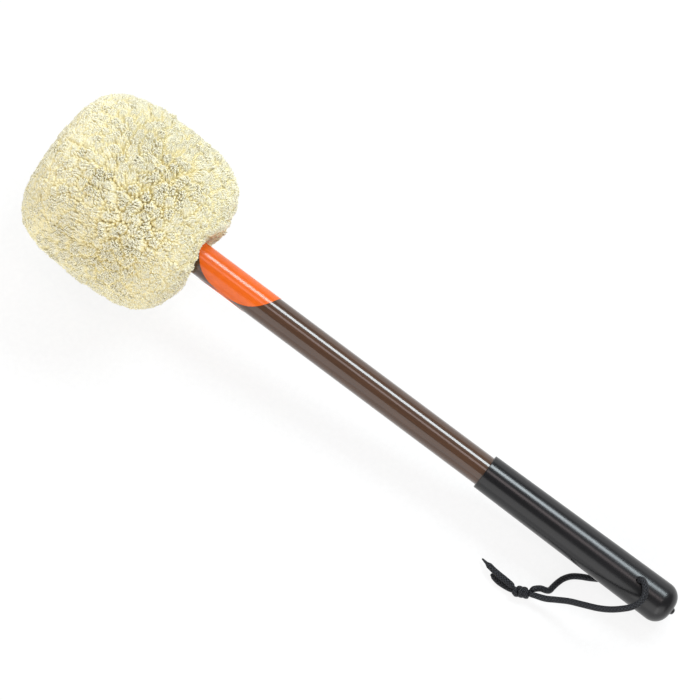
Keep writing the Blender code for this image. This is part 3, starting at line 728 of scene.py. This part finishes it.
def punch_hole(piece):
    """Cut the cord's hole across a piece, with its two mouths eased."""
    reach = grip_radius(HOLE_STATION)
    steps = [(-reach - 0.002, HOLE_RADIUS + 3 * HOLE_FLARE),
             (-reach - 0.0004, HOLE_RADIUS + HOLE_FLARE),
             (-reach + 0.0003, HOLE_RADIUS + 0.25 * HOLE_FLARE), (-reach + 0.0012, HOLE_RADIUS)]
    steps += [(-height, radius) for height, radius in reversed(steps)]
    middle = HEAD_FRONT + TOWARDS_GRIP * HOLE_STATION
    work = bmesh.new()
    rings = []
    for height, radius in steps:
        rings.append([work.verts.new(middle + SHAFT_TOP * height + radius * (
            TOWARDS_GRIP * math.cos(turn) + SHAFT_SIDE * math.sin(turn)))
            for turn in [2 * math.pi * i / HOLE_SIDES for i in range(HOLE_SIDES)]])
    for ring, following in zip(rings, rings[1:]):
        for i in range(HOLE_SIDES):
            j = (i + 1) % HOLE_SIDES
            work.faces.new([ring[i], ring[j], following[j], following[i]])
    work.faces.new(rings[0])
    work.faces.new(rings[-1])
    bmesh.ops.recalc_face_normals(work, faces=work.faces)
    punch = piece_of(work, "punch")
    cut = piece.modifiers.new("punch", "BOOLEAN")
    cut.object = punch
    cut.operation = "DIFFERENCE"
    cut.solver = "EXACT"
    punched = piece.evaluated_get(bpy.context.evaluated_depsgraph_get())
    mesh = bpy.data.meshes.new_from_object(punched)
    piece.modifiers.clear()
    piece.data = mesh
    mesh.shade_smooth()
    mesh.set_sharp_from_angle(angle=math.radians(30))
    bpy.data.objects.remove(punch)


punch_hole(sleeve)
punch_hole(dowel)
sleeve.data.materials.append(black_vinyl())
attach(sleeve, "mallet")
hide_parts("grip_sleeve")

# Wrist cord
# One soft braided black cord, 3.8 mm thick, threaded through the grip and tied in an overhand
# knot that bites it thin. Both its ends are melted. The run in the hole stays with the grip.
CORD_RADIUS = 0.0019
HOLE_X = 0.19866
FRONT_LEG = [
    (1.3, 0.0, 29.8), (2.6, 0.0, 32.0), (4.8, -1.5, 33.6), (7.1, -4.3, 33.9), (8.7, -7.8, 33.8),
    (8.8, -11.7, 33.0), (7.3, -15.3, 31.9), (4.6, -18.6, 30.5), (-2.0, -23.6, 27.4),
    (-9.0, -27.0, 24.4), (-17.0, -29.2, 20.2), (-25.4, -31.2, 15.0), (-32.2, -33.8, 10.8),
    (-38.2, -36.4, 7.8),
]
REAR_LEG = [
    (-1.3, 0.2, 4.0), (-2.2, 0.2, 2.3), (-5.0, 0.2, 1.9), (-10.5, -0.9, 1.9), (-16.3, -4.4, 1.9),
    (-23.7, -8.8, 1.9), (-29.1, -11.6, 1.9), (-33.4, -14.6, 1.9), (-36.4, -18.6, 1.9),
    (-37.9, -22.9, 1.9), (-38.6, -26.6, 1.9), (-39.1, -29.4, 2.2), (-41.0, -30.9, 3.4),
    (-43.9, -32.1, 4.4), (-46.8, -34.8, 5.0),
]
UPPER_TAIL = [(-59.2, -40.8, 5.2), (-63.9, -40.4, 5.5), (-68.7, -40.1, 5.5), (-72.9, -39.5, 5.2),
              (-75.9, -38.8, 4.6), (-79.1, -38.0, 3.6), (-81.8, -37.2, 2.6)]
LOWER_TAIL = [(-59.4, -42.6, 2.3), (-62.8, -42.8, 1.9), (-66.4, -42.8, 1.8), (-69.8, -42.1, 1.8),
              (-72.4, -41.5, 1.8)]
KNOT_CENTRE = Vector((-51.8, -40.4, 4.1))
KNOT_HEADING = math.radians(-156)
KNOT_ALONG = Vector((math.cos(KNOT_HEADING), math.sin(KNOT_HEADING), 0))
KNOT_ACROSS = Vector((-math.sin(KNOT_HEADING), math.cos(KNOT_HEADING), 0))
WRAP_RADIUS = 2.7
WRAP_FROM, WRAP_TO = 2.8, -3.6
WRAP_START, WRAP_TURN = math.radians(-12), math.radians(-798)
WRAP_STEPS = 44
# Strands lie flat round the knot within this radius, less so over the fade past it, and only
# within half the knot's length of its middle
HUG_RADIUS, HUG_FADE, HUG_HALF = 3.4, 2, 4.6
RING_GAP = 0.45
MELTED_END = 0.0004
TABLE_GAP = 0.00005


def in_knot(along, across, up):
    """A point in the knot, in millimetres: along it to the tails, across it and up."""
    return KNOT_CENTRE + KNOT_ALONG * along + KNOT_ACROSS * across + Vector((0, 0, up))


def wraps():
    """The turns that the rear strand makes round the knot's core."""
    points = []
    for i in range(WRAP_STEPS + 1):
        turn = WRAP_START + WRAP_TURN * i / WRAP_STEPS
        points.append(in_knot(WRAP_FROM + (WRAP_TO - WRAP_FROM) * i / WRAP_STEPS,
                              WRAP_RADIUS * math.cos(turn), WRAP_RADIUS * math.sin(turn)))
    return points


# A strand's thickness and width as shares of the cord's: free, bitten by the knot, and wrapped
ROUND, BITTEN, WRAPPED = (1.0, 1.0), (0.56, 0.62), (0.42, 0.86)


def smoothed(points, step):
    """Points about a step apart on a smooth curve through the given ones, with each one's
    place in the list."""
    samples, tiny = 40, 1e-9
    ends = [2 * points[0] - points[1]] + points + [2 * points[-1] - points[-2]]
    fine, places = [points[0]], [0.0]
    for i, (before, start, end, after) in enumerate(zip(ends, ends[1:], ends[2:], ends[3:])):
        span = interpolate_bezier(start, start + (end - before) / 6, end - (after - start) / 6, end,
                                  samples)
        fine += span[1:]
        places += [i + (k + 1) / (samples - 1) for k in range(samples - 1)]
    lengths = [0.0]
    for a, b in zip(fine, fine[1:]):
        lengths.append(lengths[-1] + (b - a).length)
    count = round(lengths[-1] / step)
    route, spots, k = [], [], 0
    for i in range(count + 1):
        target = lengths[-1] * i / count
        while k < len(fine) - 2 and lengths[k + 1] < target:
            k += 1
        share = (target - lengths[k]) / max(lengths[k + 1] - lengths[k], tiny)
        route.append(fine[k].lerp(fine[k + 1], share))
        spots.append(places[k] + (places[k + 1] - places[k]) * share)
    return route, spots, lengths[-1]


def strand(name, stretches, sides=20):
    """A closed tube on a route of (points, (thickness, width)) stretches, in millimetres from
    the hole. It returns the piece, its ring centres and its length in metres."""
    points, shapes = [], []
    for route, shape in stretches:
        for i, point in enumerate(route):
            points.append(Vector(point))
            shapes.append(shape(i / max(len(route) - 1, 1)) if callable(shape) else shape)
    route, spots, length = smoothed(points, RING_GAP)
    work = bmesh.new()
    uv_map = work.loops.layers.uv.new("UVMap")
    rings, centres, walked = [], [], []
    side = Vector((0, 1, 0))
    for i, (middle, spot) in enumerate(zip(route, spots)):
        ahead = (route[min(i + 1, len(route) - 1)] - route[max(i - 1, 0)]).normalized()
        side = (side - ahead * side.dot(ahead)).normalized()
        over = ahead.cross(side)
        low = min(int(spot), len(shapes) - 2)
        share = spot - low
        share = share * share * (3 - 2 * share)
        thick = shapes[low][0] + (shapes[low + 1][0] - shapes[low][0]) * share
        wide = shapes[low][1] + (shapes[low + 1][1] - shapes[low][1]) * share
        from_core = middle - KNOT_CENTRE
        from_core -= KNOT_ALONG * from_core.dot(KNOT_ALONG)
        near = max(0.0, 1 - max(from_core.length - HUG_RADIUS, 0) / HUG_FADE)
        wrapping = near if abs((middle - KNOT_CENTRE).dot(KNOT_ALONG)) < HUG_HALF else 0.0
        squeeze = Vector((0, 0, 1)).lerp(from_core.normalized(), wrapping)
        squeeze = (squeeze - ahead * squeeze.dot(ahead)).normalized()
        across = ahead.cross(squeeze)
        ring = []
        for k in range(sides):
            turn = 2 * math.pi * k / sides
            spoke = side * math.cos(turn) + over * math.sin(turn)
            spoke = squeeze * spoke.dot(squeeze) * thick + across * spoke.dot(across) * wide
            at = (middle + spoke * CORD_RADIUS * 1000) / 1000
            ring.append(work.verts.new((at.x + HOLE_X, at.y, max(at.z, TABLE_GAP))))
        rings.append(ring)
        centres.append((middle.x / 1000 + HOLE_X, middle.y / 1000, middle.z / 1000))
        walked.append(length * i / (len(route) - 1) / 1000)
    marked = list(zip(rings, walked))
    for (ring, along), (following, further) in zip(marked, marked[1:]):
        for k in range(sides):
            j = (k + 1) % sides
            face = work.faces.new([ring[k], ring[j], following[j], following[k]])
            corners = ((k, along), (k + 1, along), (k + 1, further), (k, further))
            for loop, uv in zip(face.loops, corners):
                loop[uv_map].uv = (uv[0] / sides, uv[1] / (2 * math.pi * CORD_RADIUS))
    ends = ((rings[0], centres[0], centres[1]), (rings[-1], centres[-1], centres[-2]))
    for ring, end, before in ends:
        outward = (Vector(end) - Vector(before)).normalized()
        cap = work.verts.new(Vector(end) + outward * MELTED_END)
        for k in range(sides):
            work.faces.new([ring[k], ring[(k + 1) % sides], cap])
    bmesh.ops.recalc_face_normals(work, faces=work.faces)
    return piece_of(work, name), centres, length / 1000


def black_braid():
    """Twelve-carrier braid: six strands each way, which pass over and under each other. Its colour
    is painted shade and highlight, dark in the grooves between the strands and lighter on their
    crests.
    """
    material, tree, shader = finish("black_braid", Roughness=0.5, Sheen_Weight=0.02,
                                    Sheen_Roughness=0.4, Specular_IOR_Level=0.3)
    strands_each_way = 6.0
    place = wire(tree, "ShaderNodeTexCoord").outputs["UV"]
    axes = wire(tree, "ShaderNodeSeparateXYZ", {"Vector": place}).outputs
    heights, counts = [], []
    for slant in ("ADD", "SUBTRACT"):
        value = sums(tree, "MULTIPLY", sums(tree, slant, axes[0], axes[1]), strands_each_way)
        counts.append(sums(tree, "FLOOR", value))
        crest = sums(tree, "SINE", sums(tree, "MULTIPLY", value, math.pi))
        heights.append(sums(tree, "ABSOLUTE", crest))
    over = sums(tree, "MODULO", sums(tree, "ABSOLUTE", sums(tree, "ADD", *counts)), 2.0)
    braid = wire(tree, "ShaderNodeMix", {"Factor": over, 2: heights[0], 3: heights[1]},
                 data_type="FLOAT").outputs[0]
    fibres = speckle(tree, place, (60, 60, 1), Detail=3.0)
    # Painted shade and highlight: the colour follows the braid's height, darkest in its grooves and
    # lightest on its crests, with a fibre speckle.
    tone_and_painted_shade = sums(tree, "MULTIPLY", braid, sums(tree, "MULTIPLY_ADD", fibres, 0.7, 0.6))
    paint(tree, shader, tone_and_painted_shade, (0.30, (0.0010, 0.0011, 0.0015)), (0.75, (0.0040, 0.0043, 0.0060)),
          (1.0, (0.032, 0.035, 0.045)))
    raise_grain(tree, shader, braid, 0.00030)
    return material


def upper_tail_shape(share):
    """The upper tail: flattened as it leaves the knot, a leaf near its end, melted to a point."""
    for limit, shape in ((0.4, (0.60, 1.05)), (0.8, (0.62, 1.0)), (0.95, (0.36, 0.46))):
        if share < limit:
            return shape
    return 0.24, 0.28


def lower_tail_shape(share):
    """The lower tail: flattened, and melted to a blunt end."""
    return (0.70, 0.95) if share < 0.95 else (0.45, 0.5)


braid_finish = black_braid()
core_in = [in_knot(-4.3, 0.9, 0.9), in_knot(-2.5, 1.1, 0.5), in_knot(0, 0.2, 0.7),
           in_knot(2.6, -0.9, 0.9), in_knot(4.9, -1.3, 0.8)]
front_cord, front_path, front_length = strand("cord_front_strand", [
    (FRONT_LEG, ROUND), ([in_knot(-6.6, 0.8, 1.9)], (0.9, 0.9)), (core_in, BITTEN),
    (UPPER_TAIL, upper_tail_shape)])
first_pass = [in_knot(-4.4, -1.2, 0.4), in_knot(-1.0, -1.1, 0.5), in_knot(2.4, -0.9, 0.9)]
turn_out = [in_knot(4.3, -0.1, 1.7), in_knot(4.1, 1.6, 1.6)]
tuck = [in_knot(-3.7, 0.2, -2.2), in_knot(-3.9, 0.1, -1.4)]
second_pass = [in_knot(-2.6, 0, -1.15), in_knot(0.5, 0, -1.15), in_knot(3.6, 0.4, -1.3)]
rear_cord, rear_path, rear_length = strand("cord_rear_strand", [
    (REAR_LEG, ROUND), (first_pass, BITTEN), (turn_out, WRAPPED), (wraps(), WRAPPED),
    (tuck, BITTEN), (second_pass, BITTEN), (LOWER_TAIL, lower_tail_shape)])
run, _, _ = strand("cord_in_hole", [([(-1.45, 0, 3.2), (-0.7, 0, 10.0), (0.7, 0, 23.4),
                                      (1.4, 0, 30.0)], ROUND)])
for cord in (front_cord, rear_cord, run):
    cord.data.materials.append(braid_finish)
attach(run, "mallet")
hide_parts("cord_through_run")
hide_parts("cord_front_leg", "cord_upper_tail")
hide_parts("cord_rear_leg", "cord_knot", "cord_lower_tail")
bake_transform(front_cord)
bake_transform(rear_cord)

# Table, lights and camera
# The mallet lies on a plain white table under soft boxes: a strip that draws the bright line
# down the shaft, a thinner one above it, a broad panel on either side and three soft fills.
VIEW_LEAN = math.radians(16)
PICTURE_TURN = math.radians(36.75)
AIM_STATION, AIM_ASIDE = 0.2115, 0.00974
FRAME_WIDTH = 0.4097
CAMERA_DISTANCE = 2.5
SENSOR = 36.0
TABLE_HALF = 2.5
WORLD_LIGHT, SEEN_WORLD = 0.34, 0.99


def table_finish():
    """White table: it takes a soft shadow, and shows white to the camera and in gloss."""
    material = bpy.data.materials.new("white_table")
    material.use_nodes = True
    tree = material.node_tree
    tree.nodes.clear()
    place = wire(tree, "ShaderNodeTexCoord").outputs["Object"]
    tooth = speckle(tree, place, 300.0, Detail=2.0)
    seen_white = shades(tree, tooth, (0.3, (0.14, 0.14, 0.14)), (0.7, (0.16, 0.16, 0.16)))
    seen = wire(tree, "ShaderNodeAddShader", {
        0: wire(tree, "ShaderNodeBsdfDiffuse", {"Color": seen_white}).outputs[0],
        1: wire(tree, "ShaderNodeEmission", {"Strength": 0.84}).outputs[0]})
    plain = wire(tree, "ShaderNodeBsdfDiffuse", {"Color": (0.80, 0.80, 0.80, 1)})
    rays = wire(tree, "ShaderNodeLightPath").outputs
    direct = sums(tree, "MAXIMUM", rays["Is Camera Ray"],
                  sums(tree, "MAXIMUM", rays["Is Glossy Ray"], rays["Is Transmission Ray"]))
    shown = wire(tree, "ShaderNodeMixShader", {0: direct, 1: plain.outputs[0], 2: seen.outputs[0]})
    out = wire(tree, "ShaderNodeOutputMaterial", {"Surface": shown.outputs[0]})
    out.is_active_output = True
    return material


def lamp(name, off_top, lean, distance, size, tint, radiance, station=0.2):
    """A rectangular soft box facing a station of the mallet, off_top degrees from the shaft's top
    to +Y and leaning so many degrees towards the grip."""
    turn, lean = math.radians(off_top), math.radians(lean)
    away = SHAFT_TOP * math.cos(turn) + SHAFT_SIDE * math.sin(turn)
    away = away * math.cos(lean) + TOWARDS_GRIP * math.sin(lean)
    data = bpy.data.lights.new(name, "AREA")
    data.shape = "RECTANGLE"
    data.size, data.size_y = size
    data.color = tint
    data.energy = radiance * size[0] * size[1] * math.pi
    box = in_scene(name, data)
    long_side = (TOWARDS_GRIP - away * TOWARDS_GRIP.dot(away)).normalized()
    facing = Matrix((long_side, away.cross(long_side), away)).transposed().to_4x4()
    middle = HEAD_FRONT + TOWARDS_GRIP * station
    box.matrix_world = Matrix.Translation(middle + away * distance) @ facing


floor_work = bmesh.new()
bmesh.ops.create_grid(floor_work, x_segments=1, y_segments=1, size=TABLE_HALF)
table = piece_of(floor_work, "table_top")
table.data.materials.append(table_finish())

lamp("strip_box", 36.4, 0, 1.5, (0.80, 0.42), (0.85, 0.95, 1.0), 15.5, station=0.29)
lamp("top_box", -2.0, 0, 1.5, (0.90, 0.32), (1.0, 0.86, 0.86), 3.1, station=0.28)
lamp("front_panel", -73, 0, 1.6, (2.4, 1.50), (1.0, 1.0, 1.0), 1.30)
lamp("back_panel", 84, 0, 1.7, (2.4, 0.90), (0.98, 0.99, 1.0), 0.85)
lamp("head_fill", -62, -45, 1.6, (1.3, 1.3), (1.0, 1.0, 1.0), 0.6)
lamp("grip_fill", -62, 45, 1.6, (1.3, 1.3), (1.0, 1.0, 1.0), 1.3)
lamp("far_fill", 48, -48, 1.6, (1.3, 1.3), (1.0, 1.0, 1.0), 1.9)

world = bpy.data.worlds.new("studio")
bpy.context.scene.world = world
world.use_nodes = True
tree = world.node_tree
background = tree.nodes["Background"]
background.inputs["Color"].default_value = (1, 1, 1, 1)
seen_ray = wire(tree, "ShaderNodeLightPath").outputs["Is Camera Ray"]
strength = sums(tree, "MULTIPLY_ADD", seen_ray, SEEN_WORLD - WORLD_LIGHT, WORLD_LIGHT)
tree.links.new(strength, background.inputs["Strength"])

towards_camera = SHAFT_TOP * math.cos(VIEW_LEAN) - SHAFT_SIDE * math.sin(VIEW_LEAN)
below = -(SHAFT_SIDE * math.cos(VIEW_LEAN) + SHAFT_TOP * math.sin(VIEW_LEAN))
right = TOWARDS_GRIP * math.cos(PICTURE_TURN) - below * math.sin(PICTURE_TURN)
upward = -TOWARDS_GRIP * math.sin(PICTURE_TURN) - below * math.cos(PICTURE_TURN)
aim = HEAD_FRONT + TOWARDS_GRIP * AIM_STATION - below * AIM_ASIDE
lens = bpy.data.cameras.new("camera")
lens.sensor_width = SENSOR
lens.lens = SENSOR * CAMERA_DISTANCE / FRAME_WIDTH
lens.clip_end = 20
camera = in_scene("camera", lens)
camera.matrix_world = (Matrix.Translation(aim + towards_camera * CAMERA_DISTANCE)
                       @ Matrix((right, upward, towards_camera)).transposed().to_4x4())
bpy.context.scene.camera = camera
bpy.context.scene.view_settings.view_transform = "Standard"
